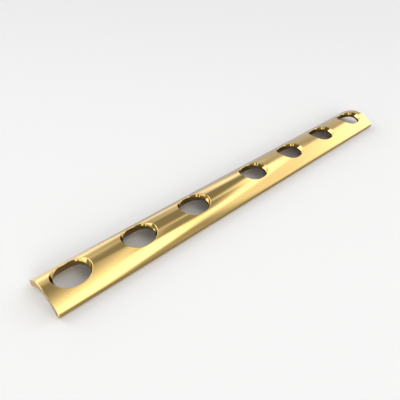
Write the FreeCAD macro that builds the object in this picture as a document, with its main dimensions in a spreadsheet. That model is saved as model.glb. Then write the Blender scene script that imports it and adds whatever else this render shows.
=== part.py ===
"""A one-piece orthopedic bone plate: a strip of thin tube wall, a little under a third of the
tube round, with a row of three and a row of four slotted screw holes. Each hole has a ball seat
for the screw head, swept along the plate by the travel that the slot gives the screw.

X runs along the plate, Y across it and Z up through the crest. The origin lies in the middle
of the plate, at the level of the two long edges it rests on. Lengths are in millimetres.
"""
import FreeCAD, Part
import math
import os

import Sketcher
from FreeCAD import Vector

PLATE_NODE = "bone_plate"
PARTS_FOLDER = "parts"
TOLERANCE = 1e-4
QUARTER = math.pi / 2
HALF_TURN = 180
POINTS_PER_EDGE = 5

# Each driving size: its name, its value and what it measures.
DRIVING_SIZES = (
    ("hole_pitch", 12.0, "from one hole to the next within a row"),
    ("centre_gap", 16.0, "from the last hole of the near row to the first of the far row"),
    ("end_margin", 4.6, "from an end hole's centre to the plate's end"),
    ("near_holes", 3, "holes in the near row"),
    ("far_holes", 4, "holes in the far row"),
    ("outer_radius", 5.5, "the tube's outer radius"),
    ("wall", 1.1, "the tube's wall thickness"),
    ("arc_angle", 110.0, "how much of the tube the plate keeps, in degrees"),
    ("outer_round", 0.45, "rounding of the long edges on the outer side"),
    ("bone_round", 0.15, "rounding of the long edges on the bone side"),
    ("slot_width", 4.8, "across a screw slot"),
    ("screw_travel", 0.6, "how far a screw can slide along its slot"),
    ("head_overlap", 0.8, "how much larger the seat's ball is than half the slot's width"),
    ("seat_ledge", 0.07, "how far the seat reaches past the slot's straight sides"),
    ("rim_break", 0.07, "bevel that breaks the edges of the hole rims"),
)

# The two roundings of a long edge share the wall, so neither takes more than this of it.
LARGEST_OUTER_ROUND = 0.6
LARGEST_BONE_ROUND = 0.3
OUTER_ROUND = f"min(Sizes.outer_round; {LARGEST_OUTER_ROUND} * Sizes.wall)"
BONE_ROUND = f"min(Sizes.bone_round; {LARGEST_BONE_ROUND} * Sizes.wall)"
# A rim's bevel stays on the seat's ledge where that is narrowest.
RIM_BREAK = "min(Sizes.rim_break; Sizes.seat_ledge)"

PLATE_LENGTH = (
    "(2 * Sizes.end_margin + (Sizes.near_holes + Sizes.far_holes - 2) * Sizes.hole_pitch"
    " + Sizes.centre_gap)"
)
NEAR_ROW_START = f"(Sizes.end_margin - {PLATE_LENGTH} / 2)"
FAR_ROW_START = (
    f"({NEAR_ROW_START} + (Sizes.near_holes - 1) * Sizes.hole_pitch + Sizes.centre_gap)"
)
# The tube's axis lies below the plate, and the section sketch measures how far. The seat's rim
# crosses the plate's outer surface a ledge away from the slot's sides, which sets the ball's
# height: the surface's height there, and up from it to the ball's centre.
BALL_RADIUS = "(Sizes.slot_width / 2 + Sizes.head_overlap)"
SEAT_SIDE = "(Sizes.slot_width / 2 + Sizes.seat_ledge)"
BALL_HEIGHT = (
    f"(sqrt(Sizes.outer_radius ^ 2 - {SEAT_SIDE} ^ 2) - Section.Constraints.axis_drop / 1 mm"
    f" + sqrt({BALL_RADIUS} ^ 2 - {SEAT_SIDE} ^ 2))"
)

# Which point of a sketch element a constraint takes, counted from one.
START, END, CENTRE = range(1, 4)
ORIGIN_POINT = (-1, START)
X_AXIS, Y_AXIS = -1, -2


def make_sheet(doc):
    """Writes the driving sizes to the sheet, one row each, and returns the sheet."""
    sheet = doc.addObject("Spreadsheet::Sheet", "Sizes")
    for row, (name, value, meaning) in enumerate(DRIVING_SIZES, start=1):
        sheet.set(f"A{row}", name)
        sheet.set(f"B{row}", str(value))
        sheet.set(f"C{row}", meaning)
        sheet.setAlias(f"B{row}", name)
    doc.recompute()
    return sheet


def origin_feature(body, role):
    """Returns the body's own origin plane or axis of that role."""
    return next(f for f in body.Origin.OriginFeatures if f.Role == role)


def new_sketch(body, name, plane):
    """Returns an empty sketch on one of the body's origin planes."""
    sketch = body.newObject("Sketcher::SketchObject", name)
    sketch.AttachmentSupport = [(origin_feature(body, plane), "")]
    sketch.MapMode = "FlatFace"
    return sketch


def constrain(sketch, kind, *where):
    """Adds a constraint that has no size."""
    return sketch.addConstraint(Sketcher.Constraint(kind, *where))


def dimension(sketch, kind, where, value, name, size):
    """Adds a dimension at its value as drawn, names it and binds it to a size."""
    index = sketch.addConstraint(Sketcher.Constraint(kind, *where, value))
    sketch.renameConstraint(index, name)
    sketch.setExpression(f"Constraints.{name}", size)
    return index


def arc(centre, radius, start, end):
    """Returns an arc that turns anticlockwise from start to end, angles in radians."""
    circle = Part.Circle(Vector(*centre, 0), Vector(0, 0, 1), radius)
    return Part.ArcOfCircle(circle, start, end)


def line(start, end):
    """Returns a straight line between two points of a sketch."""
    return Part.LineSegment(Vector(*start, 0), Vector(*end, 0))


def polar(centre, radius, angle):
    """Returns the point at that radius and angle round a centre."""
    return centre[0] + radius * math.cos(angle), centre[1] + radius * math.sin(angle)


def draw_section(sketch, sheet):
    """Draws the plate's cross-section: two arcs round the tube's axis, joined by radial edges
    whose corners are rounded. The bone-side corners rest on the sketch's horizontal axis."""
    outer, inner = sheet.outer_radius, sheet.outer_radius - sheet.wall
    big = min(sheet.outer_round, LARGEST_OUTER_ROUND * sheet.wall)
    small = min(sheet.bone_round, LARGEST_BONE_ROUND * sheet.wall)

    # Angles of the right-hand edge and of its corners' centres, taken from the horizontal.
    edge_angle = QUARTER - math.radians(sheet.arc_angle / 2)
    big_angle = edge_angle + math.asin(big / (outer - big))
    small_angle = edge_angle + math.asin(small / (inner + small))
    axis = (0.0, small - (inner + small) * math.sin(small_angle))

    right_big = polar(axis, outer - big, big_angle)
    right_small = polar(axis, inner + small, small_angle)
    left_big = polar(axis, outer - big, math.pi - big_angle)
    left_small = polar(axis, inner + small, math.pi - small_angle)
    left_out = 3 * QUARTER - edge_angle
    right_out = edge_angle - QUARTER

    crest = sketch.addGeometry(arc(axis, outer, big_angle, math.pi - big_angle))
    left_outer = sketch.addGeometry(arc(left_big, big, math.pi - big_angle, left_out))
    left_edge = sketch.addGeometry(
        line(polar(left_big, big, left_out), polar(left_small, small, left_out))
    )
    left_inner = sketch.addGeometry(
        arc(left_small, small, left_out, 2 * math.pi - small_angle)
    )
    hollow = sketch.addGeometry(arc(axis, inner, small_angle, math.pi - small_angle))
    right_inner = sketch.addGeometry(
        arc(right_small, small, math.pi + small_angle, 2 * math.pi + right_out)
    )
    right_edge = sketch.addGeometry(
        line(polar(right_small, small, right_out), polar(right_big, big, right_out))
    )
    right_outer = sketch.addGeometry(arc(right_big, big, right_out, big_angle))

    for first, first_end, second, second_end in (
        (crest, END, left_outer, START),
        (left_outer, END, left_edge, START),
        (left_edge, END, left_inner, START),
        (left_inner, END, hollow, END),
        (hollow, START, right_inner, START),
        (right_inner, END, right_edge, START),
        (right_edge, END, right_outer, START),
        (right_outer, END, crest, START),
    ):
        constrain(sketch, "Tangent", first, first_end, second, second_end)

    constrain(sketch, "Coincident", crest, CENTRE, hollow, CENTRE)
    constrain(sketch, "PointOnObject", crest, CENTRE, Y_AXIS)
    constrain(sketch, "PointOnObject", crest, CENTRE, left_edge)
    constrain(sketch, "PointOnObject", crest, CENTRE, right_edge)
    constrain(sketch, "Equal", left_outer, right_outer)
    constrain(sketch, "Equal", left_inner, right_inner)
    constrain(sketch, "Horizontal", left_outer, CENTRE, right_outer, CENTRE)
    dimension(sketch, "Radius", (crest,), outer, "outer_radius", "Sizes.outer_radius")
    dimension(
        sketch, "Radius", (hollow,), inner, "inner_radius", "Sizes.outer_radius - Sizes.wall"
    )
    dimension(sketch, "Radius", (right_outer,), big, "outer_round", OUTER_ROUND)
    dimension(sketch, "Radius", (right_inner,), small, "bone_round", BONE_ROUND)
    edges = (right_edge, START, left_edge, END)
    opening = math.radians(sheet.arc_angle)
    dimension(sketch, "Angle", edges, opening, "arc_angle", "Sizes.arc_angle * 1 deg")
    resting = (*ORIGIN_POINT, right_inner, CENTRE)
    dimension(sketch, "DistanceY", resting, small, "resting_height", BONE_ROUND)
    drop = constrain(sketch, "DistanceY", crest, CENTRE, *ORIGIN_POINT, -axis[1])
    sketch.setDriving(drop, False)
    sketch.renameConstraint(drop, "axis_drop")


def draw_slot(sketch, sheet):
    """Draws a screw slot round the sketch's origin: two half circles and two straight sides."""
    radius, reach = sheet.slot_width / 2, sheet.screw_travel / 2
    right = sketch.addGeometry(arc((reach, 0.0), radius, -QUARTER, QUARTER))
    top = sketch.addGeometry(line((reach, radius), (-reach, radius)))
    left = sketch.addGeometry(arc((-reach, 0.0), radius, QUARTER, 3 * QUARTER))
    bottom = sketch.addGeometry(line((-reach, -radius), (reach, -radius)))
    for first, second in ((right, top), (top, left), (left, bottom), (bottom, right)):
        constrain(sketch, "Tangent", first, END, second, START)
    constrain(sketch, "Equal", right, left)
    constrain(sketch, "PointOnObject", right, CENTRE, X_AXIS)
    constrain(sketch, "Symmetric", left, CENTRE, right, CENTRE, *ORIGIN_POINT)
    dimension(sketch, "Radius", (right,), radius, "slot_end", "Sizes.slot_width / 2")
    centres = (left, CENTRE, right, CENTRE)
    dimension(sketch, "DistanceX", centres, 2 * reach, "travel", "Sizes.screw_travel")


def ball_radius(sheet):
    """Returns the radius of the seat's ball."""
    return sheet.slot_width / 2 + sheet.head_overlap


def draw_ball_section(sketch, sheet):
    """Draws the ball's circle, centred on the sketch's origin."""
    radius = ball_radius(sheet)
    ball = sketch.addGeometry(Part.Circle(Vector(0, 0, 0), Vector(0, 0, 1), radius))
    constrain(sketch, "Coincident", ball, CENTRE, *ORIGIN_POINT)
    dimension(sketch, "Radius", (ball,), radius, "ball", BALL_RADIUS)


def draw_ball_quarter(sketch, sheet):
    """Draws the lower right quarter of the ball's section, with the sketch's origin as its
    centre. Half a turn about the vertical axis makes half of the ball's lower side."""
    radius = ball_radius(sheet)
    centre, side_point, lowest = (0.0, 0.0), (radius, 0.0), (0.0, -radius)
    curve = sketch.addGeometry(arc(centre, radius, 3 * QUARTER, 4 * QUARTER))
    top = sketch.addGeometry(line(side_point, centre))
    side = sketch.addGeometry(line(centre, lowest))
    constrain(sketch, "Coincident", curve, CENTRE, *ORIGIN_POINT)
    constrain(sketch, "Coincident", curve, END, top, START)
    constrain(sketch, "Coincident", top, END, *ORIGIN_POINT)
    constrain(sketch, "Coincident", side, START, *ORIGIN_POINT)
    constrain(sketch, "Coincident", side, END, curve, START)
    constrain(sketch, "Horizontal", top)
    constrain(sketch, "Vertical", side)
    dimension(sketch, "Radius", (curve,), radius, "ball", BALL_RADIUS)


def extrude_strip(body, sheet):
    """Pads the cross-section along the plate, evenly to both sides of its middle."""
    section = new_sketch(body, "Section", "YZ_Plane")
    draw_section(section, sheet)
    body.Document.recompute()
    strip = body.newObject("PartDesign::Pad", "Strip")
    strip.Profile = section
    strip.SideType = "Symmetric"
    strip.setExpression("Length", PLATE_LENGTH)
    body.Document.recompute()
    return strip


def cut_slot(body, sheet, row, row_start):
    """Cuts the first slot of a row upwards through the wall."""
    outline = new_sketch(body, f"{row}SlotOutline", "XY_Plane")
    outline.setExpression("AttachmentOffset.Base.x", row_start)
    draw_slot(outline, sheet)
    slot = body.newObject("PartDesign::Pocket", f"{row}Slot")
    slot.Profile = outline
    slot.Type = "ThroughAll"
    slot.Reversed = True
    return slot


def cut_seat_middle(body, sheet, row, row_start):
    """Cuts the straight middle of the seat, as long as the screw's travel."""
    outline = new_sketch(body, f"{row}SeatOutline", "YZ_Plane")
    outline.setExpression("AttachmentOffset.Base.z", row_start)
    outline.setExpression("AttachmentOffset.Base.y", BALL_HEIGHT)
    draw_ball_section(outline, sheet)
    seat = body.newObject("PartDesign::Pocket", f"{row}SeatMiddle")
    seat.Profile = outline
    seat.SideType = "Symmetric"
    seat.setExpression("Length", "Sizes.screw_travel")
    return seat


def cut_seat_end(body, sheet, row, row_start, side):
    """Cuts one round end of the seat, half a turn of the ball's profile away from the middle."""
    name = "Left" if side < 0 else "Right"
    profile = new_sketch(body, f"{row}Seat{name}Profile", "YZ_Plane")
    profile.setExpression(
        "AttachmentOffset.Base.z", f"{row_start} + {side} * Sizes.screw_travel / 2"
    )
    profile.setExpression("AttachmentOffset.Base.y", BALL_HEIGHT)
    draw_ball_quarter(profile, sheet)
    seat = body.newObject("PartDesign::Groove", f"{row}Seat{name}")
    seat.Profile = profile
    seat.ReferenceAxis = (profile, ["V_Axis"])
    seat.Angle = HALF_TURN
    seat.Reversed = side > 0
    return seat


def cut_hole_row(body, sheet, row, row_start, count):
    """Cuts the first screw hole of a row and repeats it along the plate."""
    hole = [
        cut_slot(body, sheet, row, row_start),
        cut_seat_middle(body, sheet, row, row_start),
        cut_seat_end(body, sheet, row, row_start, -1),
        cut_seat_end(body, sheet, row, row_start, 1),
    ]
    body.Document.recompute()
    pattern = body.newObject("PartDesign::LinearPattern", f"{row}Row")
    pattern.Originals = hole
    pattern.Direction = (origin_feature(body, "X_Axis"), [""])
    pattern.Mode = "Spacing"
    pattern.setExpression("Offset", "Sizes.hole_pitch")
    pattern.setExpression("Occurrences", count)
    body.Tip = pattern
    body.Document.recompute()
    return pattern


def rim_edges(shape, sheet, axis_drop, radius):
    """Names the hole rims that lie on the tube's surface of that radius. The plate's own
    borders lie on it too, but those along it are longer than the pitch, and those across it
    are at its ends."""
    end = shape.BoundBox.XMax
    names = []
    for index, edge in enumerate(shape.Edges, start=1):
        points = edge.discretize(POINTS_PER_EDGE)
        on_surface = all(
            abs(math.hypot(p.y, p.z + axis_drop) - radius) < TOLERANCE for p in points
        )
        at_end = all(abs(abs(p.x) - end) < TOLERANCE for p in points)
        if on_surface and not at_end and edge.Length < sheet.hole_pitch:
            names.append(f"Edge{index}")
    return names


def break_rims(body, sheet):
    """Bevels every hole's rim on the outer side and on the bone side."""
    holes = body.Tip
    drop = body.Document.Section.getDatum("axis_drop").Value
    outer = rim_edges(holes.Shape, sheet, drop, sheet.outer_radius)
    inner = rim_edges(holes.Shape, sheet, drop, sheet.outer_radius - sheet.wall)
    bevels = body.newObject("PartDesign::Chamfer", "RimBevels")
    bevels.Base = (holes, outer + inner)
    bevels.setExpression("Size", RIM_BREAK)
    body.Tip = bevels
    body.Document.recompute()
    return bevels


def check_document(doc):
    """Stops if any object failed, or a body has no single valid solid."""
    for item in doc.Objects:
        if {"Invalid", "Error"} & set(item.State):
            raise RuntimeError(f"{item.Name} failed: {item.State}")
    for body in doc.findObjects("PartDesign::Body"):
        shape = body.Shape
        if shape.isNull() or not shape.isValid() or len(shape.Solids) != 1:
            raise RuntimeError(f"{body.Label} isn't one valid solid")


def check_cuts(steps):
    """Stops if a step that should take material away didn't."""
    for before, after in zip(steps, steps[1:]):
        if after.Shape.Volume >= before.Shape.Volume:
            raise RuntimeError(f"{after.Name} cut nothing")


def build_plate(doc, sheet):
    """Builds the whole plate as one body."""
    body = doc.addObject("PartDesign::Body", "BonePlate")
    body.Label = PLATE_NODE
    strip = extrude_strip(body, sheet)
    near_row = cut_hole_row(body, sheet, "Near", NEAR_ROW_START, "Sizes.near_holes")
    far_row = cut_hole_row(body, sheet, "Far", FAR_ROW_START, "Sizes.far_holes")
    bevels = break_rims(body, sheet)
    check_cuts([strip, near_row, far_row, bevels])
    return body


def main():
    doc = FreeCAD.newDocument("OrthopedicBonePlate")
    sheet = make_sheet(doc)
    plate = build_plate(doc, sheet)
    check_document(doc)
    os.makedirs(PARTS_FOLDER, exist_ok=True)
    plate.Shape.exportStep(os.path.join(PARTS_FOLDER, f"{plate.Label}.step"))
    box = plate.Shape.BoundBox
    print(f"{plate.Label}: {box.XLength:.3f} x {box.YLength:.3f} x {box.ZLength:.3f} mm,")
    print(f"lowest point {box.ZMin:.4f} mm, volume {plate.Shape.Volume:.3f} mm3")


main()
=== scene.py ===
"""Finishes a slim gold-coloured bone plate and sets it on a pale floor in a soft studio.

The plate is a strip of tube wall with seven slotted screw holes, each with a ball seat for the
screw's head. Sizes are written in millimetres and angles in degrees, as on a drawing, and the
meshes are made in metres. X runs along the plate, Y across it and Z up through its crest.
"""

import logging
import math
from dataclasses import dataclass, field
from enum import Enum

import bpy
import numpy as np
from mathutils import Matrix


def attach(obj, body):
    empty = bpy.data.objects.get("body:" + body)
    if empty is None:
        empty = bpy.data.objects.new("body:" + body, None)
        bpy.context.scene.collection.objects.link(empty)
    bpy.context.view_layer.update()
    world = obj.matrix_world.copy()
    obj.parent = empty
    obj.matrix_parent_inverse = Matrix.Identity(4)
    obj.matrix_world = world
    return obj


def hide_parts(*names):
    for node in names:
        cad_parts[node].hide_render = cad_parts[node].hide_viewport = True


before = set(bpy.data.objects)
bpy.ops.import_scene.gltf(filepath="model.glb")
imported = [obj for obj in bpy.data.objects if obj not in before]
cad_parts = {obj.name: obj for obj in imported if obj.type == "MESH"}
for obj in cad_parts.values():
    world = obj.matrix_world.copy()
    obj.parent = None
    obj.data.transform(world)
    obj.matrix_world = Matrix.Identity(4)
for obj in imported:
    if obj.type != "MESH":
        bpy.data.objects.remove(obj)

LOG = logging.getLogger("bone_plate")
MM = 0.001
WELD_DIGITS = 6
LEAST_DIVISOR = 0.0001
LEAST_AHEAD = 0.001

Source = bpy.types.NodeSocket | float | tuple | list


class Side(Enum):
    """The two sides of the tube wall."""

    OUTER = "outer"
    BONE = "bone"


class Surface(Enum):
    """How a stretch of the plate's surface was finished, by its material's place."""

    POLISHED = 0
    MACHINED = 1
    DULL = 2
    BORED = 3


@dataclass
class Sheet:
    """A grid of surface points with the true normal at each.

    Attributes:
        points: Rows by columns by three, in millimetres.
        normals: The outward directions at the points, of the same shape.
        surface: How this stretch is finished.
    """

    points: np.ndarray
    normals: np.ndarray
    surface: Surface = Surface.POLISHED

    def quads(self) -> np.ndarray:
        """Lists the grid's cells, turned so that each faces outwards.

        Returns:
            Each cell's four corners, as numbers into the grid.
        """
        rows, columns = self.points.shape[:2]
        number = np.arange(rows * columns).reshape(rows, columns)
        cells = np.stack(
            [number[:-1, :-1], number[1:, :-1], number[1:, 1:], number[:-1, 1:]], axis=-1
        ).reshape(-1, 4)
        points = self.points.reshape(-1, 3)[cells]
        facing = np.cross(points[:, 2] - points[:, 0], points[:, 3] - points[:, 1])
        outwards = self.normals.reshape(-1, 3)[cells].sum(axis=1)
        inside_out = (facing * outwards).sum(axis=1) < 0
        cells[inside_out] = cells[inside_out, ::-1]
        return cells


def unit(vectors: np.ndarray) -> np.ndarray:
    """Returns the vectors at length one."""
    return vectors / np.linalg.norm(vectors, axis=-1, keepdims=True)


def weld(name: str, sheets: list[Sheet]) -> bpy.types.Mesh:
    """Joins sheets that share their borders into one closed mesh.

    Points that agree to the weld's digits become one. A cell whose corners meet there turns
    into a triangle. Every corner keeps the true normal of its own sheet.

    Args:
        name: The mesh's name.
        sheets: The sheets, in millimetres.

    Returns:
        The mesh, in metres.
    """
    points = np.concatenate([s.points.reshape(-1, 3) for s in sheets])
    normals = np.concatenate([s.normals.reshape(-1, 3) for s in sheets])
    starts = np.cumsum([0] + [s.points[..., 0].size for s in sheets[:-1]])
    quads = [s.quads() for s in sheets]
    cells = np.concatenate([quad + start for quad, start in zip(quads, starts)])
    finishes = np.concatenate([np.full(len(q), s.surface.value) for q, s in zip(quads, sheets)])

    _, first, place = np.unique(
        np.round(points, WELD_DIGITS), axis=0, return_index=True, return_inverse=True
    )
    corners = place.reshape(-1)[cells]
    kept = corners != np.roll(corners, -1, axis=1)
    whole = kept.sum(axis=1) > 2
    corners, cells, kept, finishes = corners[whole], cells[whole], kept[whole], finishes[whole]

    mesh = bpy.data.meshes.new(name)
    mesh.vertices.add(len(first))
    mesh.vertices.foreach_set("co", (points[first] * MM).ravel())
    mesh.loops.add(int(kept.sum()))
    mesh.loops.foreach_set("vertex_index", corners[kept])
    mesh.polygons.add(len(corners))
    mesh.polygons.foreach_set("loop_start", np.cumsum(kept.sum(axis=1)) - kept.sum(axis=1))
    mesh.polygons.foreach_set("material_index", finishes)
    mesh.update(calc_edges=True)
    mesh.shade_smooth()
    mesh.normals_split_custom_set(normals[cells[kept]])
    return mesh


@dataclass
class TubeWall:
    """The plate's cross-section: a strip of tube wall with rounded long edges.

    Angles are measured round the tube's axis from straight up, positive towards +Y.
    """

    outer_radius: float = 5.5
    wall: float = 1.1
    arc_angle: float = 110.0
    outer_round: float = 0.45
    bone_round: float = 0.15
    window_angle: float = 36.0
    window_cells: int = 24
    flank_cells: int = 5
    round_cells: int = 7
    dull_cells: int = 6

    @property
    def bone_radius(self) -> float:
        """The radius of the hollow underside."""
        return self.outer_radius - self.wall

    @property
    def edge_angle(self) -> float:
        """The angle of the radial edge face, in radians."""
        return math.radians(self.arc_angle / 2)

    @property
    def axis_height(self) -> float:
        """The axis lies so far below the crest that the bone-side corners touch the floor."""
        centre = self.bone_radius + self.bone_round
        angle = self.edge_angle - math.asin(self.bone_round / centre)
        return self.bone_round - centre * math.cos(angle)

    def radius(self, side: Side) -> float:
        """Returns the radius of one side of the wall."""
        return self.outer_radius if side is Side.OUTER else self.bone_radius

    def height(self, y: np.ndarray, side: Side) -> np.ndarray:
        """Returns how high a side of the wall is at each y, by the circle's equation."""
        return self.axis_height + np.sqrt(self.radius(side) ** 2 - y**2)

    def around(self, x: np.ndarray, angle: np.ndarray, side: Side) -> tuple:
        """Places points on one side of the wall.

        A point lies at its x, and round the axis at its angle and the side's radius. Its
        normal is the radius itself, outwards from the wall.

        Args:
            x: The points' places along the plate.
            angle: Their angles round the axis, in radians.
            side: The side of the wall.

        Returns:
            The points and their normals.
        """
        normals = np.stack([0 * x, np.sin(angle), np.cos(angle)], axis=-1)
        axis = np.stack([x, 0 * x, 0 * x + self.axis_height], axis=-1)
        outwards = 1 if side is Side.OUTER else -1
        return axis + self.radius(side) * normals, outwards * normals

    def half_profile(self, side: Side) -> tuple[np.ndarray, np.ndarray]:
        """Draws one side of the section, from the +Y edge face to the window's border.

        A quarter-round corner off the flat edge face, then the arc as far as the window, each
        a circular run of evenly spaced points.

        Args:
            side: The side of the wall.

        Returns:
            The points as y and z, and their normals.
        """
        edge = self.edge_angle
        outer = side is Side.OUTER
        corner = self.outer_round if outer else self.bone_round
        centre = self.radius(side) + (-corner if outer else corner)
        corner_angle = edge - math.asin(corner / centre)
        last = corner_angle if outer else corner_angle + math.pi
        turn = np.linspace(edge + math.pi / 2, last, self.round_cells + 1)
        round_normals = np.stack([np.sin(turn), np.cos(turn)], axis=-1)
        heart = centre * np.array([math.sin(corner_angle), math.cos(corner_angle)])
        rounding = heart + corner * round_normals

        sweep = np.linspace(corner_angle, math.radians(self.window_angle), self.flank_cells + 1)
        radial = np.stack([np.sin(sweep), np.cos(sweep)], axis=-1)
        arc = self.radius(side) * radial
        points = np.concatenate([rounding, arc[1:]])
        normals = np.concatenate([round_normals, radial[1:] if outer else -radial[1:]])
        return points + [0, self.axis_height], normals

    def window_angles(self) -> np.ndarray:
        """Returns the angles across a hole's window, from its +Y border to its -Y border."""
        reach = math.radians(self.window_angle)
        return np.linspace(reach, -reach, self.window_cells + 1)

    def profile(self) -> tuple[np.ndarray, np.ndarray]:
        """Draws the whole section as a closed run.

        It goes from the +Y edge face over the outer side to the -Y edge face, and back along
        the bone side. Both halves have the same number of points, and the flat edge faces are
        the steps between them.

        Returns:
            The points as y and z, and their normals. The first isn't repeated at the end.
        """
        mirror = np.array([-1, 1])
        halves = []
        for side in (Side.OUTER, Side.BONE):
            points, normals = self.half_profile(side)
            window = self.window_angles()[1:-1]
            on_window, window_normals = self.around(0 * window, window, side)
            halves.append(
                (
                    np.concatenate([points, on_window[:, 1:], mirror * points[::-1]]),
                    np.concatenate([normals, window_normals[:, 1:], mirror * normals[::-1]]),
                )
            )
        (over, over_normals), (under, under_normals) = halves
        return (
            np.concatenate([over, under[::-1]]),
            np.concatenate([over_normals, under_normals[::-1]]),
        )

    @property
    def border_cells(self) -> int:
        """How many cells lie between an edge face and the window on one side."""
        return self.round_cells + self.flank_cells


@dataclass
class ScrewHole:
    """A screw slot with a ball seat swept along it, in the middle of a window of the wall."""

    x: float
    wall: TubeWall
    slot_radius: float = 2.4
    half_travel: float = 0.3
    ball_radius: float = 3.2
    seat_ledge: float = 0.07
    rim_break: float = 0.07
    half_window: float = 4.0
    window_cells: int = 32
    travel_cells: int = 4
    skin_cells: int = 12
    rim_cells: int = 4
    seat_cells: int = 7
    slot_cells: int = 4
    halvings: int = 48

    @property
    def ball_height(self) -> float:
        """The ball's centre, set so that the seat's rim passes a ledge beside the slot."""
        side = self.slot_radius + self.seat_ledge
        rim = float(self.wall.height(np.array(side), Side.OUTER))
        return rim + math.sqrt(self.ball_radius**2 - side**2)

    def columns(self) -> tuple[np.ndarray, np.ndarray]:
        """Lays out the columns round the slot, from +X anticlockwise and back to +X.

        The direction turns evenly round each half circle and stands still along the straight
        sides, where the centre moves from one end of the travel to the other.

        Returns:
            Each column's direction, in radians, and its centre's place along X.
        """
        around = self.window_cells * 2 + self.wall.window_cells * 2
        quarter = (around - 2 * self.travel_cells) // 4
        turn = np.linspace(0, math.pi / 2, quarter + 1)
        still = np.full(self.travel_cells - 1, math.pi / 2)
        angles = np.concatenate([turn, still, turn + math.pi / 2])
        angles = np.concatenate([angles, angles[1:] + math.pi])
        slide = np.linspace(self.half_travel, -self.half_travel, self.travel_cells + 1)
        ahead = np.full(quarter, self.half_travel)
        centres = np.concatenate([ahead, slide, -ahead])
        centres = np.concatenate([centres, -centres[1:]])
        return angles, self.x + centres

    def ring(self, reach: np.ndarray, height: np.ndarray) -> np.ndarray:
        """Places a ring of points round the slot.

        Args:
            reach: Each point's distance from its column's centre.
            height: Each point's height.

        Returns:
            The points.
        """
        angles, centres = self.columns()
        flat = [centres + reach * np.cos(angles), reach * np.sin(angles)]
        return np.stack([*flat, np.broadcast_to(height, angles.shape)], axis=-1)

    def on_wall(self, reach: np.ndarray, side: Side) -> np.ndarray:
        """Places a ring on one side of the wall, at a distance from the columns' centres."""
        angles, _ = self.columns()
        return self.ring(reach, self.wall.height(reach * np.sin(angles), side))

    def on_ball(self, reach: np.ndarray) -> np.ndarray:
        """Places a ring on the seat, at a distance from the columns' centres."""
        return self.ring(reach, self.ball_height - np.sqrt(self.ball_radius**2 - reach**2))

    def seat_reach(self) -> np.ndarray:
        """Finds how far the seat's rim lies from the centre in each column, by halving.

        The rim is where the ball's underside comes up through the wall's outer side.

        Returns:
            Each column's distance from its centre to the rim.
        """
        angles, _ = self.columns()
        near = np.full(angles.shape, self.slot_radius)
        far = np.full(angles.shape, self.ball_radius)
        for _ in range(self.halvings):
            middle = (near + far) / 2
            ball = self.ball_height - np.sqrt(self.ball_radius**2 - middle**2)
            above = ball > self.wall.height(middle * np.sin(angles), Side.OUTER)
            near, far = np.where(above, near, middle), np.where(above, middle, far)
        return near

    def slope(self, reach: np.ndarray, side: Side) -> np.ndarray:
        """Works out how much of a step along the wall, away from the hole, lies flat.

        Args:
            reach: Each column's distance from its centre.
            side: The side of the wall.

        Returns:
            The flat share of the step in each column.
        """
        angles, _ = self.columns()
        fall = reach * np.sin(angles) / self.wall.radius(side)
        return np.sqrt(np.cos(angles) ** 2 + np.sin(angles) ** 2 * (1 - fall**2))

    def window_border(self) -> tuple[np.ndarray, np.ndarray]:
        """Walks round the window's border, in step with the columns.

        Returns:
            Each column's x and angle round the tube's axis on the border.
        """
        half = math.radians(self.wall.window_angle)
        up = np.linspace(-half, half, self.wall.window_cells + 1)
        along = np.linspace(self.half_window, -self.half_window, self.window_cells + 1)
        middle = self.wall.window_cells // 2
        x = np.concatenate(
            [
                np.full(middle, self.half_window),
                along,
                np.full(self.wall.window_cells - 1, -self.half_window),
                -along,
                np.full(middle, self.half_window),
            ]
        )
        angle = np.concatenate(
            [
                up[middle:-1],
                np.full(len(along), half),
                up[::-1][1:-1],
                np.full(len(along), -half),
                up[1 : middle + 1],
            ]
        )
        return self.x + x, angle

    def skin(self, rim: np.ndarray, side: Side) -> Sheet:
        """Spreads the wall from the window's border in to a ring round the hole.

        x and the angle round the tube's axis both run in straight proportion from the border
        to the ring, so every point lies on the wall.

        Args:
            rim: The ring round the hole.
            side: The side of the wall.

        Returns:
            The skin, polished on the outer side and dull on the bone side.
        """
        border_x, border_angle = self.window_border()
        rim_angle = np.arcsin(rim[:, 1] / self.wall.radius(side))
        share = np.linspace(0, 1, self.skin_cells + 1)[:, None]
        x = (1 - share) * border_x + share * rim[:, 0]
        angle = (1 - share) * border_angle + share * rim_angle
        surface = Surface.POLISHED if side is Side.OUTER else Surface.DULL
        return Sheet(*self.wall.around(x, angle, side), surface)

    def rounding(self, ends: tuple, corner: np.ndarray, surface: Surface) -> Sheet:
        """Rounds a rim between two rings, as a parabola that starts and ends along them.

        With t from 0 to 1 a point is (1-t)^2 first + 2t(1-t) corner + t^2 last, and its
        normal turns evenly from the one ring's to the other's.

        Args:
            ends: The first ring, the last ring and the normals of both.
            corner: The sharp rim that the rounding takes away.
            surface: How it is finished.

        Returns:
            The rounding.
        """
        first, last, first_normals, last_normals = ends
        t = np.linspace(0, 1, self.rim_cells + 1)[:, None, None]
        points = (1 - t) ** 2 * first + 2 * t * (1 - t) * corner + t**2 * last
        return Sheet(points, unit((1 - t) * first_normals + t * last_normals), surface)

    def sheets(self) -> list[Sheet]:
        """Makes the hole's surfaces, from the outer skin down through it to the bone side.

        Returns:
            The outer skin, the rim, the seat, the slot's wall, its lower rim and the bone skin.
        """
        angles, centres = self.columns()
        towards_axis = np.stack([-np.cos(angles), -np.sin(angles), 0 * angles], axis=-1)
        reach = self.seat_reach()
        rim = self.on_ball(reach)
        lip = self.on_wall(reach + self.rim_break * self.slope(reach, Side.OUTER), Side.OUTER)
        drop = np.sqrt(1 - (reach / self.ball_radius) ** 2)
        shares = np.linspace(reach - self.rim_break * drop, self.slot_radius, self.seat_cells + 1)
        seat = np.stack([self.on_ball(share) for share in shares])
        ball = np.stack([centres, 0 * angles, 0 * angles + self.ball_height], axis=-1)
        seat_normals = unit(ball - seat)

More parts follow.
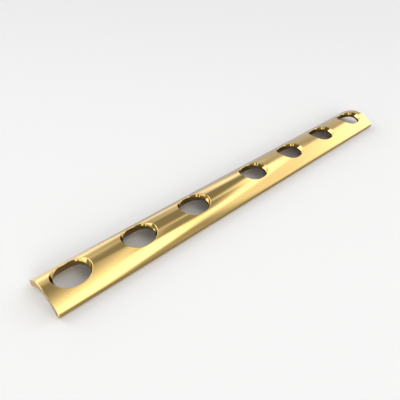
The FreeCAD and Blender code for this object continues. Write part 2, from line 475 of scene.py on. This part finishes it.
        slot = np.full(angles.shape, self.slot_radius)
        sharp = self.on_wall(slot, Side.BONE)
        foot = sharp + [0, 0, self.rim_break]
        share = np.linspace(0, 1, self.slot_cells + 1)[:, None, None]
        shaft = (1 - share) * seat[-1] + share * foot
        hem = self.on_wall(slot + self.rim_break * self.slope(slot, Side.BONE), Side.BONE)

        outer_skin = self.skin(lip, Side.OUTER)
        bone_skin = self.skin(hem, Side.BONE)
        shaft_normals = np.broadcast_to(towards_axis, shaft.shape)
        over = (lip, seat[0], outer_skin.normals[-1], seat_normals[0])
        under = (foot, hem, towards_axis, bone_skin.normals[-1])
        return [
            outer_skin,
            self.rounding(over, rim, Surface.POLISHED),
            Sheet(seat, seat_normals, Surface.MACHINED),
            Sheet(shaft, shaft_normals, Surface.BORED),
            self.rounding(under, sharp, Surface.BORED),
            bone_skin,
        ]


@dataclass
class BonePlate:
    """The whole plate: a strip of tube wall with its screw holes."""

    wall: TubeWall = field(default_factory=TubeWall)
    hole_pitch: float = 12.0
    centre_gap: float = 16.0
    end_margin: float = 4.6
    near_holes: int = 3
    far_holes: int = 4
    end_break: float = 0.06
    break_cells: int = 3
    plain_step: float = 0.5

    @property
    def length(self) -> float:
        """The plate's length: two margins, the pitches of both rows and the gap."""
        pitches = self.near_holes + self.far_holes - 2
        return 2 * self.end_margin + pitches * self.hole_pitch + self.centre_gap

    def holes(self) -> list[ScrewHole]:
        """Places the holes of both rows.

        Returns:
            The holes of the near row, then those of the far row.
        """
        first = self.end_margin - self.length / 2
        near = first + self.hole_pitch * np.arange(self.near_holes)
        far = near[-1] + self.centre_gap + self.hole_pitch * np.arange(self.far_holes)
        return [ScrewHole(float(x), self.wall) for x in (*near, *far)]

    def swept(self, stations: np.ndarray, picks: np.ndarray, surface: Surface) -> Sheet:
        """Carries some points of the section along X, past every station.

        Args:
            stations: Places along the plate.
            picks: The numbers of the section's points.
            surface: How the stretch is finished.

        Returns:
            The stretch, with a row to each station.
        """
        points, normals = (line[picks] for line in self.wall.profile())
        shape = (len(stations), len(picks))
        x = np.broadcast_to(stations[:, None], shape)
        y, z = (np.broadcast_to(points[:, axis], shape) for axis in (0, 1))
        flat = np.zeros(shape)
        ny, nz = (np.broadcast_to(normals[:, axis], shape) for axis in (0, 1))
        return Sheet(np.stack([x, y, z], axis=-1), np.stack([flat, ny, nz], axis=-1), surface)

    def strip(self, holes: list[ScrewHole]) -> list[Sheet]:
        """Sweeps the section along the plate, and leaves a window open round every hole.

        The polished skin ends part of the way round its corners. The long edges are as dull
        as the bone side.

        Args:
            holes: The holes, in order along X.

        Returns:
            The stretches between the holes and those beside each hole.
        """
        wall = self.wall
        count = len(wall.profile()[0])
        half, worn = count // 2, wall.dull_cells
        outer = np.arange(worn, half - worn)
        bone = np.arange(half - 1 - worn, count + worn + 1) % count
        # Painted shade: the long edges wear the dull gold, whose darker colour draws a dark line
        # along them.
        skin, rest = wall.border_cells - worn + 1, wall.border_cells + worn + 2
        beside = (
            (outer[:skin], Surface.POLISHED),
            (outer[-skin:], Surface.POLISHED),
            (bone[:rest], Surface.DULL),
            (bone[-rest:], Surface.DULL),
        )
        sheets = []
        reached = self.end_break - self.length / 2
        for hole in (*holes, None):
            start = hole.x - hole.half_window if hole else self.length / 2 - self.end_break
            plain = self.stations(reached, start)
            sheets.append(self.swept(plain, outer, Surface.POLISHED))
            sheets.append(self.swept(plain, bone, Surface.DULL))
            if hole:
                reached = hole.x + hole.half_window
                window = np.linspace(start, reached, hole.window_cells + 1)
                sheets += [self.swept(window, picks, surface) for picks, surface in beside]
        return sheets

    def stations(self, start: float, end: float) -> np.ndarray:
        """Spaces stations evenly between two places, about a plain step apart."""
        cells = max(1, round((end - start) / self.plain_step))
        return np.linspace(start, end, cells + 1)

    def end(self, way: int) -> list[Sheet]:
        """Closes an end with a flat face whose border is broken by a small round.

        The border steps in along the section's own normals, and the face runs straight from
        each of its outer points to the bone-side point across the wall.

        Args:
            way: 1 for the +X end, -1 for the -X end.

        Returns:
            The broken border and the face.
        """
        points, normals = self.wall.profile()
        count = len(points)
        closed = np.arange(count + 1) % count
        turn = np.linspace(0, math.pi / 2, self.break_cells + 1)[:, None]
        step_in = self.end_break * (1 - np.cos(turn))
        x = way * (self.length / 2 - self.end_break * (1 - np.sin(turn)))
        border = points[None] - step_in[..., None] * normals[None]
        shape = border.shape[:2]
        ring = np.stack([np.broadcast_to(x, shape), border[..., 0], border[..., 1]], axis=-1)
        lean = np.stack(
            [
                np.broadcast_to(way * np.sin(turn), shape),
                np.cos(turn) * normals[:, 0],
                np.cos(turn) * normals[:, 1],
            ],
            axis=-1,
        )
        rim = Sheet(ring[:, closed], lean[:, closed])
        over = np.arange(count // 2)
        under = count - 1 - over
        face = np.stack([ring[-1, over], ring[-1, under]])
        facing = np.broadcast_to([float(way), 0.0, 0.0], face.shape)
        return [rim, Sheet(face, facing, Surface.DULL)]

    def build(self) -> bpy.types.Object:
        """Makes the plate's mesh and puts its object at the origin.

        Returns:
            The plate.
        """
        holes = self.holes()
        sheets = self.strip(holes) + self.end(1) + self.end(-1)
        for hole in holes:
            sheets += hole.sheets()
        mesh = weld("gold_bone_plate", sheets)
        plate = bpy.data.objects.new("gold_bone_plate", mesh)
        bpy.context.scene.collection.objects.link(plate)
        return plate

    def dress(self, plate: bpy.types.Object, finishes: list["GoldFinish"]) -> None:
        """Gives the plate its finishes, in the order of the surfaces that wear them."""
        for finish in finishes:
            plate.data.materials.append(finish.material())


def add_node(tree: bpy.types.NodeTree, kind: str, **settings: object) -> bpy.types.Node:
    """Adds a node to a tree and sets its properties.

    Args:
        tree: The node tree.
        kind: The node's type, without its prefix.
        settings: The node's properties by name.

    Returns:
        The node.
    """
    node = tree.nodes.new("ShaderNode" + kind)
    for name, value in settings.items():
        setattr(node, name, value)
    return node


def feed(tree: bpy.types.NodeTree, target: bpy.types.NodeSocket, source: Source) -> None:
    """Links a socket to another one, or sets it to a plain value.

    Args:
        tree: The node tree.
        target: The socket that is fed.
        source: What it is fed with.
    """
    if isinstance(source, bpy.types.NodeSocket):
        tree.links.new(source, target)
    else:
        target.default_value = source


def maths(tree: bpy.types.NodeTree, what: str, *values: Source) -> bpy.types.NodeSocket:
    """Adds a Math node.

    Args:
        tree: The node tree.
        what: The operation.
        values: What it works on.

    Returns:
        Its output.
    """
    node = add_node(tree, "Math", operation=what)
    for socket, value in zip(node.inputs, values):
        feed(tree, socket, value)
    return node.outputs[0]


def noise(
    tree: bpy.types.NodeTree, place: Source, scale: Source, detail: Source
) -> bpy.types.NodeSocket:
    """Adds a noise.

    Args:
        tree: The node tree.
        place: Where it is read.
        scale: How many of its lumps go to a metre.
        detail: How many finer layers it has.

    Returns:
        Its value.
    """
    node = add_node(tree, "TexNoise")
    for name, source in (("Vector", place), ("Scale", scale), ("Detail", detail)):
        feed(tree, node.inputs[name], source)
    return node.outputs[0]


def ramp(
    tree: bpy.types.NodeTree,
    value: Source,
    reach: tuple,
    span: tuple = (0.0, 1.0),
    smooth: bool = True,
) -> bpy.types.NodeSocket:
    """Maps a value from one range onto another, and holds it at both ends.

    Args:
        tree: The node tree.
        value: The value.
        reach: The value's range.
        span: What the range is mapped onto.
        smooth: Whether it eases in and out, as 3t^2 - 2t^3, or runs straight.

    Returns:
        The mapped value.
    """
    node = add_node(tree, "MapRange", interpolation_type="SMOOTHSTEP" if smooth else "LINEAR")
    feed(tree, node.inputs["Value"], value)
    for end, source in zip(("From Min", "From Max", "To Min", "To Max"), (*reach, *span)):
        feed(tree, node.inputs[end], source)
    return node.outputs["Result"]


def blend(
    tree: bpy.types.NodeTree, kind: str, share: Source, pair: tuple
) -> bpy.types.NodeSocket:
    """Mixes two colours or two numbers.

    Args:
        tree: The node tree.
        kind: RGBA for colours, FLOAT for numbers.
        share: How much of the second there is.
        pair: The first and the second.

    Returns:
        The mixture.
    """
    node = add_node(tree, "Mix", data_type=kind)
    for name, source in (("Factor", share), ("A", pair[0]), ("B", pair[1])):
        feed(tree, node.inputs[name], source)
    return node.outputs["Result"]


def new_group(
    name: str, inputs: dict, outputs: dict
) -> tuple[bpy.types.NodeTree, bpy.types.Node, bpy.types.Node]:
    """Makes an empty shader node group.

    Args:
        name: The group's name.
        inputs: Each input's name with its socket type and its default.
        outputs: Each output's name with its socket type.

    Returns:
        The group, the node of its inputs and the node of its outputs.
    """
    group = bpy.data.node_groups.new(name, "ShaderNodeTree")
    for label, (kind, default) in inputs.items():
        socket = group.interface.new_socket(label, in_out="INPUT", socket_type="NodeSocket" + kind)
        if default is not None:
            socket.default_value = default
    for label, kind in outputs.items():
        group.interface.new_socket(label, in_out="OUTPUT", socket_type="NodeSocket" + kind)
    return group, group.nodes.new("NodeGroupInput"), group.nodes.new("NodeGroupOutput")


def place_group(
    tree: bpy.types.NodeTree, group: bpy.types.NodeTree, **values: Source
) -> bpy.types.Node:
    """Places a group in a tree.

    Args:
        tree: The node tree.
        group: The group.
        values: What its inputs are fed with, by their names with _ for each space.

    Returns:
        The group's node.
    """
    node = add_node(tree, "Group", node_tree=group)
    for name, value in values.items():
        feed(tree, node.inputs[name.replace("_", " ")], value)
    return node


def handling_marks() -> bpy.types.NodeTree:
    """Makes the group of faint marks that all the gold finishes share, or finds it.

    Cloudy is a slow drift over a few millimetres. Hazy is a finer one that leaves the metal a
    little duller in places. Hairlines are thin scratches: a noise drawn out along the plate
    and kept only where it peaks.

    Returns:
        The group.
    """
    name = "handling_marks"
    if name in bpy.data.node_groups:
        return bpy.data.node_groups[name]
    inputs = {
        "Position": ("Vector", None),
        "Cloud Scale": ("Float", 120.0),
        "Cloud Detail": ("Float", 2.0),
        "Haze Scale": ("Float", 900.0),
        "Haze Detail": ("Float", 4.0),
        "Line Scale": ("Float", 9000.0),
        "Line Detail": ("Float", 2.0),
        "Line Start": ("Float", 0.58),
        "Line Full": ("Float", 0.72),
        "Stretch": ("Float", 0.03),
    }
    labels = ("Cloudy", "Hazy", "Hairlines")
    group, given, made = new_group(name, inputs, {label: "Float" for label in labels})
    take = given.outputs
    cloudy = noise(group, take["Position"], take["Cloud Scale"], take["Cloud Detail"])
    hazy = noise(group, take["Position"], take["Haze Scale"], take["Haze Detail"])
    drawn = add_node(group, "CombineXYZ")
    for socket, source in zip(drawn.inputs, (take["Stretch"], 1.0, 1.0)):
        feed(group, socket, source)
    stretched = add_node(group, "VectorMath", operation="MULTIPLY")
    feed(group, stretched.inputs[0], take["Position"])
    feed(group, stretched.inputs[1], drawn.outputs[0])
    lines = noise(group, stretched.outputs[0], take["Line Scale"], take["Line Detail"])
    hairlines = ramp(group, lines, (take["Line Start"], take["Line Full"]))
    for label, mark in zip(labels, (cloudy, hazy, hairlines)):
        feed(group, made.inputs[label], mark)
    return group


def cutter_rings() -> bpy.types.NodeTree:
    """Makes the group of rings that a cutter leaves as it turns about Z, or finds it.

    Their height is a sine wave up Z, with one wave to each pitch.

    Returns:
        The group.
    """
    name = "cutter_rings"
    if name in bpy.data.node_groups:
        return bpy.data.node_groups[name]
    inputs = {"Position": ("Vector", None), "Pitch": ("Float", 0.00006)}
    group, given, made = new_group(name, inputs, {"Height": "Float"})
    split = add_node(group, "SeparateXYZ")
    feed(group, split.inputs[0], given.outputs["Position"])
    waves = maths(group, "DIVIDE", split.outputs["Z"], given.outputs["Pitch"])
    height = maths(group, "SINE", maths(group, "MULTIPLY", waves, 2 * math.pi))
    feed(group, made.inputs["Height"], height)
    return group


@dataclass(frozen=True)
class GoldFinish:
    """What the plate's finishes share: gold-coloured metal under a thin clear oxide.

    Attributes:
        name: The material's name.
        colour: The metal's colour.
        warm_colour: The colour that it drifts to over a few millimetres.
        gloss: The least and the most roughness.
        oxide: How much of the clear oxide there is.
        relief_depth: How deep the fine relief is, in metres.
        relief_strength: How much of the relief shows.
    """

    name: str = "gold"
    colour: tuple = (0.895, 0.627, 0.214, 1.0)
    warm_colour: tuple = (0.895, 0.609, 0.199, 1.0)
    gloss: tuple = (0.07, 0.11)
    oxide: float = 0.85
    relief_depth: float = 0.00000035
    relief_strength: float = 0.3

    def relief(
        self, tree: bpy.types.NodeTree, place: bpy.types.NodeSocket, marks: bpy.types.Node
    ) -> bpy.types.NodeSocket:
        """Picks the height of the fine relief: here the thin scratches of handling.

        Args:
            tree: The material's node tree.
            place: The place on the plate.
            marks: The node of the handling marks.

        Returns:
            The height.
        """
        return marks.outputs["Hairlines"]

    def material(self) -> bpy.types.Material:
        """Makes the material.

        The cloudy marks drift its colour, the hazy ones its roughness and the relief its
        normal.

        Returns:
            The material.
        """
        material = bpy.data.materials.new(self.name)
        material.use_nodes = True
        tree = material.node_tree
        shader = tree.nodes["Principled BSDF"]
        place = add_node(tree, "TexCoord").outputs["Object"]
        marks = place_group(tree, handling_marks(), Position=place)
        tint = blend(tree, "RGBA", marks.outputs["Cloudy"], (self.colour, self.warm_colour))
        roughness = ramp(tree, marks.outputs["Hazy"], (0.0, 1.0), self.gloss, smooth=False)
        bump = add_node(tree, "Bump")
        feed(tree, bump.inputs["Strength"], self.relief_strength)
        feed(tree, bump.inputs["Distance"], self.relief_depth)
        feed(tree, bump.inputs["Height"], self.relief(tree, place, marks))
        feed(tree, shader.inputs["Base Color"], tint)
        feed(tree, shader.inputs["Roughness"], roughness)
        feed(tree, shader.inputs["Normal"], bump.outputs["Normal"])
        shader.inputs["Metallic"].default_value = 1.0
        shader.inputs["Coat Weight"].default_value = self.oxide
        return material


@dataclass(frozen=True)
class PolishedGold(GoldFinish):
    """The mirror-polished skin of the outer side, with its rims and the ends' borders."""

    name: str = "polished_gold"


@dataclass(frozen=True)
class MachinedGoldWithPaintedShade(GoldFinish):
    """The ball seats, with the fine rings that the cutter leaves, darker in colour as painted
    shade.
    """

    name: str = "machined_gold_painted_shade"
    # Painted shade: darker than the polished gold, for the shade in the holes' seats.
    colour: tuple = (0.66, 0.45, 0.12, 1.0)
    warm_colour: tuple = (0.66, 0.43, 0.11, 1.0)
    gloss: tuple = (0.08, 0.13)
    relief_depth: float = 0.0000006
    ring_pitch: float = 0.06

    def relief(
        self, tree: bpy.types.NodeTree, place: bpy.types.NodeSocket, marks: bpy.types.Node
    ) -> bpy.types.NodeSocket:
        """Returns the height of the cutter's rings."""
        rings = place_group(tree, cutter_rings(), Position=place, Pitch=self.ring_pitch * MM)
        return rings.outputs["Height"]


@dataclass(frozen=True)
class BoredGoldWithPaintedShade(MachinedGoldWithPaintedShade):
    """The slots' upright walls, darker in colour as painted shade, and with coarser rings."""

    name: str = "bored_gold_painted_shade"
    # Painted shade: the dark brown stands in for the shade inside the slots.
    colour: tuple = (0.33, 0.205, 0.05, 1.0)
    warm_colour: tuple = (0.30, 0.18, 0.04, 1.0)
    gloss: tuple = (0.16, 0.22)
    ring_pitch: float = 0.09


@dataclass(frozen=True)
class DullGoldWithPaintedShade(GoldFinish):
    """The blasted bone side, which is dull and a little darker: the darkness is painted shade."""

    name: str = "dull_gold_painted_shade"
    # Painted shade: the darker colour deepens the shadow under the arch and darkens the long
    # edges.
    colour: tuple = (0.52, 0.36, 0.13, 1.0)
    warm_colour: tuple = (0.50, 0.34, 0.12, 1.0)
    gloss: tuple = (0.34, 0.46)
    oxide: float = 0.3
    relief_depth: float = 0.000004
    grain: float = 12000.0
    grain_detail: float = 2.0

    def relief(
        self, tree: bpy.types.NodeTree, place: bpy.types.NodeSocket, marks: bpy.types.Node
    ) -> bpy.types.NodeSocket:
        """Returns the grain's height: a fine even noise."""
        return noise(tree, place, self.grain, self.grain_detail)


@dataclass(frozen=True)
class PaleFloorPaint:
    """The matt, pale paint of the studio floor. In the gold it shows a painted shade, greyer than
    by itself, and a paler painted reflection beyond the near end's far corner.

    Attributes:
        near_colour: The colour on the camera's side.
        far_colour: The colour on the far side.
        reflected_painted_shade: The greyer colour that the gold reflects, a painted shade.
        painted_pale_reflection: The paler painted reflection beyond the near end's far corner.
        drift: Where near turns to far, by X + Y in metres.
        painted_pale_reflection_drift: Where the painted shade turns paler, by Y - X in metres.
        roughness: How matt it is.
        gloss: How much of a plain gloss there is on it.
    """

    near_colour: tuple = (0.955, 0.955, 0.95, 1.0)
    far_colour: tuple = (0.865, 0.865, 0.865, 1.0)
    # Painted shade: the grey that the floor shows in the gold, which also dims light bounced off
    # the gold.
    reflected_painted_shade: tuple = (0.56, 0.56, 0.555, 1.0)
    # Painted reflection: the paler colour that the gold shows beyond the near end's far corner.
    painted_pale_reflection: tuple = (0.92, 0.92, 0.9, 1.0)
    drift: tuple = (-0.06, 0.22)
    painted_pale_reflection_drift: tuple = (0.031, 0.047)
    roughness: float = 0.9
    gloss: float = 0.1

    def material(self) -> bpy.types.Material:
        """Makes the material, with one pair of colours by itself and a painted-shade pair in the
        gold.

        Returns:
            The material.
        """
        material = bpy.data.materials.new("pale_floor_paint_with_painted_shade")
        material.use_nodes = True
        tree = material.node_tree
        shader = tree.nodes["Principled BSDF"]
        split = add_node(tree, "SeparateXYZ")
        feed(tree, split.inputs[0], add_node(tree, "TexCoord").outputs["Object"])
        x, y = split.outputs["X"], split.outputs["Y"]
        away = ramp(tree, maths(tree, "ADD", x, y), self.drift)
        across = ramp(tree, maths(tree, "SUBTRACT", y, x), self.painted_pale_reflection_drift)
        plain = blend(tree, "RGBA", away, (self.near_colour, self.far_colour))
        # Painted shade and painted reflection: the colour that the floor shows only in the gold.
        painted_reflection_colour = blend(tree, "RGBA", across, (self.reflected_painted_shade, self.painted_pale_reflection))
        in_gold = add_node(tree, "LightPath").outputs["Is Glossy Ray"]
        shown = blend(tree, "RGBA", in_gold, (plain, painted_reflection_colour))
        feed(tree, shader.inputs["Base Color"], shown)
        feed(tree, shader.inputs["Roughness"], self.roughness)
        feed(tree, shader.inputs["Specular IOR Level"], self.gloss)
        return material


@dataclass
class StudioFloor:
    """A plain pale floor that fills the view."""

    half_size: float = 1500.0
    paint: PaleFloorPaint = field(default_factory=PaleFloorPaint)

    def build(self) -> bpy.types.Object:
        """Makes the floor level with the plate's lowest points.

        Returns:
            The floor.
        """
        half = self.half_size * MM
        mesh = bpy.data.meshes.new("studio_floor")
        corners = [(-half, -half, 0), (half, -half, 0), (half, half, 0), (-half, half, 0)]
        mesh.from_pydata(corners, [], [(0, 1, 2, 3)])
        mesh.materials.append(self.paint.material())
        floor = bpy.data.objects.new("studio_floor", mesh)
        bpy.context.scene.collection.objects.link(floor)
        return floor


def direction(azimuth: float, elevation: float) -> np.ndarray:
    """Turns an azimuth from +X towards +Y, and a height over the floor, into a direction."""
    turn, rise = math.radians(azimuth), math.radians(elevation)
    return np.array(
        [math.cos(rise) * math.cos(turn), math.cos(rise) * math.sin(turn), math.sin(rise)]
    )


@dataclass(frozen=True)
class SoftPanel:
    """A large soft panel of the studio, far from the plate: a diffuser, or a grey flag.

    Attributes:
        azimuth: Where its middle stands, from +X towards +Y.
        elevation: How high its middle is.
        roll: How far it is turned about its middle.
        width: Its width as seen from the plate.
        height: Its height as seen from the plate.
        level: How bright it is, where 1 is white.
        softness: How wide its blurred border is, as a tangent.
    """

    azimuth: float
    elevation: float
    roll: float
    width: float
    height: float
    level: float
    softness: float = 0.1

    def frame(self) -> tuple[np.ndarray, np.ndarray, np.ndarray]:
        """Works out how the panel stands.

        Returns:
            Its facing, across and upright directions.
        """
        facing = direction(self.azimuth, self.elevation)
        across = direction(self.azimuth + 90, 0)
        upright = np.cross(facing, across)
        turn = math.radians(self.roll)
        return (
            facing,
            math.cos(turn) * across + math.sin(turn) * upright,
            math.cos(turn) * upright - math.sin(turn) * across,
        )

    def mask(self, tree: bpy.types.NodeTree, way: bpy.types.NodeSocket) -> bpy.types.NodeSocket:
        """Masks the panel out of the directions round the plate.

        Args:
            tree: The world's node tree.
            way: The direction.

        Returns:
            One on the panel and nothing off it.
        """
        facing, across, upright = self.frame()
        node = place_group(
            tree,
            soft_panel_group(),
            Direction=way,
            Facing=facing.tolist(),
            Across=across.tolist(),
            Upright=upright.tolist(),
            Half_Width=math.tan(math.radians(self.width / 2)),
            Half_Height=math.tan(math.radians(self.height / 2)),
            Softness=self.softness,
        )
        return node.outputs["Mask"]


def soft_panel_group() -> bpy.types.NodeTree:
    """Makes the group that tells how much of a soft panel lies in a direction, or finds it.

    The direction is spread onto the panel's plane: its parts along Across and Upright are
    divided by its part along Facing. The mask is one inside the half sizes and falls smoothly
    to nothing over the softness. Nothing behind the plate counts.

    Returns:
        The group.
    """
    name = "soft_panel"
    if name in bpy.data.node_groups:
        return bpy.data.node_groups[name]
    vectors = {label: ("Vector", None) for label in ("Direction", "Facing", "Across", "Upright")}
    sizes = {label: ("Float", 0.5) for label in ("Half Width", "Half Height", "Softness")}
    group, given, made = new_group(name, {**vectors, **sizes}, {"Mask": "Float"})
    ahead = maths(group, "MAXIMUM", dot(group, given, "Facing"), LEAST_DIVISOR)
    mask = maths(group, "GREATER_THAN", dot(group, given, "Facing"), LEAST_AHEAD)
    half_soft = maths(group, "MULTIPLY", given.outputs["Softness"], 0.5)
    for way, half in (("Across", "Half Width"), ("Upright", "Half Height")):
        spread = maths(group, "DIVIDE", dot(group, given, way), ahead)
        inner = maths(group, "SUBTRACT", given.outputs[half], half_soft)
        outer = maths(group, "ADD", given.outputs[half], half_soft)
        inside = ramp(group, maths(group, "ABSOLUTE", spread), (inner, outer), (1.0, 0.0))
        mask = maths(group, "MULTIPLY", mask, inside)
    feed(group, made.inputs["Mask"], mask)
    return group


def dot(tree: bpy.types.NodeTree, given: bpy.types.Node, way: str) -> bpy.types.NodeSocket:
    """Measures how much of a group's Direction lies along another of its vectors.

    Args:
        tree: The group's node tree.
        given: The node of its inputs.
        way: The other vector's name.

    Returns:
        The part that lies along it.
    """
    node = add_node(tree, "VectorMath", operation="DOT_PRODUCT")
    feed(tree, node.inputs[0], given.outputs["Direction"])
    feed(tree, node.inputs[1], given.outputs[way])
    return node.outputs["Value"]


@dataclass
class Studio:
    """The plain soft light: a grey room with large soft panels.

    The panels stand one before the other, so each covers part of those before it in the list.
    A panel's row gives its azimuth, elevation, roll, width, height, level and softness.
    """

    lamp_power: float = 1.075
    room_low: float = 0.22
    room_high: float = 0.9
    high_at: float = 0.95
    backdrop: float = 0.885
    panels: tuple[SoftPanel, ...] = (
        SoftPanel(180, 62, 0, 110, 66, 0.12, 0.3),
        SoftPanel(110, 30, 0, 44, 36, 3.2, 0.2),
        SoftPanel(205, 14, 0, 90, 24, 2.1, 0.3),
        SoftPanel(-112, 15, 0, 46, 24, 6.0, 0.2),
        SoftPanel(4, 12, 0, 62, 22, 0.9, 0.12),
        SoftPanel(-40.5, 65.4, 51.7, 80.3, 27.5, 1.93, 0.18),
        SoftPanel(1.2, 46.0, 11.6, 84.3, 26.4, 0.99, 0.2),
        SoftPanel(-5.8, 46.9, -7.8, 41.5, 7.2, 1.73, 0.09),
        SoftPanel(-10.6, 25.5, 14.7, 42.2, 10.4, 1.83, 0.25),
        SoftPanel(-5.5, 57.8, -5.7, 20.2, 13.7, 0.297, 0.146),
        SoftPanel(43.7, 44.3, 12.5, 26.8, 30.1, 0.232, 0.137),
        SoftPanel(-94.4, 3.4, 39.9, 110.0, 13.9, 0.194, 0.434),
        SoftPanel(-39.1, 89.9, 18.1, 101.2, 44.5, 0.27, 0.752),
        SoftPanel(69.7, -8.7, 40.6, 3.0, 78.1, 1.54, 0.535),
        SoftPanel(65.9, -16.9, 64.6, 93.0, 5.3, 2.25, 0.612),
        SoftPanel(20.0, -17.6, -15.7, 45.7, 104.4, 0.502, 0.199),
        SoftPanel(-54.5, 34.0, 30.9, 22.0, 5.7, 0.358, 0.12),
        SoftPanel(-8.7, 32.4, 10.0, 22.9, 3.0, 1.85, 0.356),
        SoftPanel(23.9, 31.4, -39.3, 24.0, 3.4, 0.39, 0.13),
        SoftPanel(47.9, 19.3, 23.4, 5.6, 13.7, 1.33, 0.142),
        SoftPanel(-142, 38, 0, 9, 40, 1.8, 0.05),
        SoftPanel(-166, 34, 0, 7, 36, 1.4, 0.05),
    )

    def build(self) -> bpy.types.World:
        """Makes the world. Each panel in turn covers the room and the panels before it.

        Returns:
            The world.
        """
        world = bpy.data.worlds.new("soft_studio")
        bpy.context.scene.world = world
        world.use_nodes = True
        tree = world.node_tree
        way = add_node(tree, "TexCoord").outputs["Generated"]
        split = add_node(tree, "SeparateXYZ")
        feed(tree, split.inputs[0], way)
        room = (self.room_low, self.room_high)
        light = ramp(tree, split.outputs["Z"], (0.0, self.high_at), room)
        for panel in self.panels:
            light = blend(tree, "FLOAT", panel.mask(tree, way), (light, panel.level))
        by_camera = add_node(tree, "LightPath").outputs["Is Camera Ray"]
        sky = tree.nodes["Background"]
        feed(tree, sky.inputs["Color"], blend(tree, "FLOAT", by_camera, (light, self.backdrop)))
        sky.inputs["Strength"].default_value = self.lamp_power
        return world


@dataclass
class PhotoCamera:
    """The camera where the photograph was taken, found from the plate's own edges."""

    yaw: float = -45.482
    pitch: float = 37.458
    roll: float = 2.582
    focal_pixels: float = 414.71
    frame_pixels: float = 400.0
    aim_right: float = 45.268
    aim_down: float = 14.521
    distance: float = 82.084
    film_width: float = 36.0
    nearest: float = 1.0
    farthest: float = 100000.0

    def build(self) -> bpy.types.Object:
        """Makes the camera and hands it to the scene.

        It looks back along the view axis from its distance, and its aim moves it sideways
        until the plate's origin shows as many pixels off the frame's middle as in the photo.

        Returns:
            The camera.
        """
        away = direction(self.yaw - 90, self.pitch)
        level_right = direction(self.yaw, 0)
        level_up = np.cross(away, level_right)
        turn = math.radians(self.roll)
        right = math.cos(turn) * level_right + math.sin(turn) * level_up
        up = math.cos(turn) * level_up - math.sin(turn) * level_right
        per_pixel = self.distance / self.focal_pixels
        place = (
            self.distance * away
            - self.aim_right * per_pixel * right
            - self.aim_down * per_pixel * up
        )
        lens = bpy.data.cameras.new("photo_camera")
        lens.sensor_width = self.film_width
        lens.lens = self.focal_pixels * self.film_width / self.frame_pixels
        lens.clip_start = self.nearest * MM
        lens.clip_end = self.farthest * MM
        camera = bpy.data.objects.new("photo_camera", lens)
        pose = np.eye(4)
        pose[:3, 0], pose[:3, 1], pose[:3, 2], pose[:3, 3] = right, up, away, place * MM
        camera.matrix_world = Matrix(pose.tolist())
        bpy.context.scene.collection.objects.link(camera)
        bpy.context.scene.camera = camera
        return camera


def main() -> None:
    """Builds the camera, the studio and the plate, and notes the plate's size."""
    logging.basicConfig(level=logging.INFO, format="%(message)s")
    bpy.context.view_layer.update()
    bpy.context.scene.view_settings.view_transform = "Standard"
    camera = PhotoCamera().build()
    LOG.info("%s: %.1f mm lens", camera.name, camera.data.lens)
    studio = Studio()
    world = studio.build()
    LOG.info("%s: %d soft panels", world.name, len(studio.panels))
    floor = StudioFloor().build()
    LOG.info("%s: pale and level", floor.name)

    maker = BonePlate()
    plate = maker.build()
    maker.dress(plate, [PolishedGold(), MachinedGoldWithPaintedShade(), DullGoldWithPaintedShade(), BoredGoldWithPaintedShade()])
    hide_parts("bone_plate")
    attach(plate, "root")
    LOG.info("%s: %d faces, %.1f mm long", plate.name, len(plate.data.polygons), maker.length)


if __name__ == "__main__":
    main()
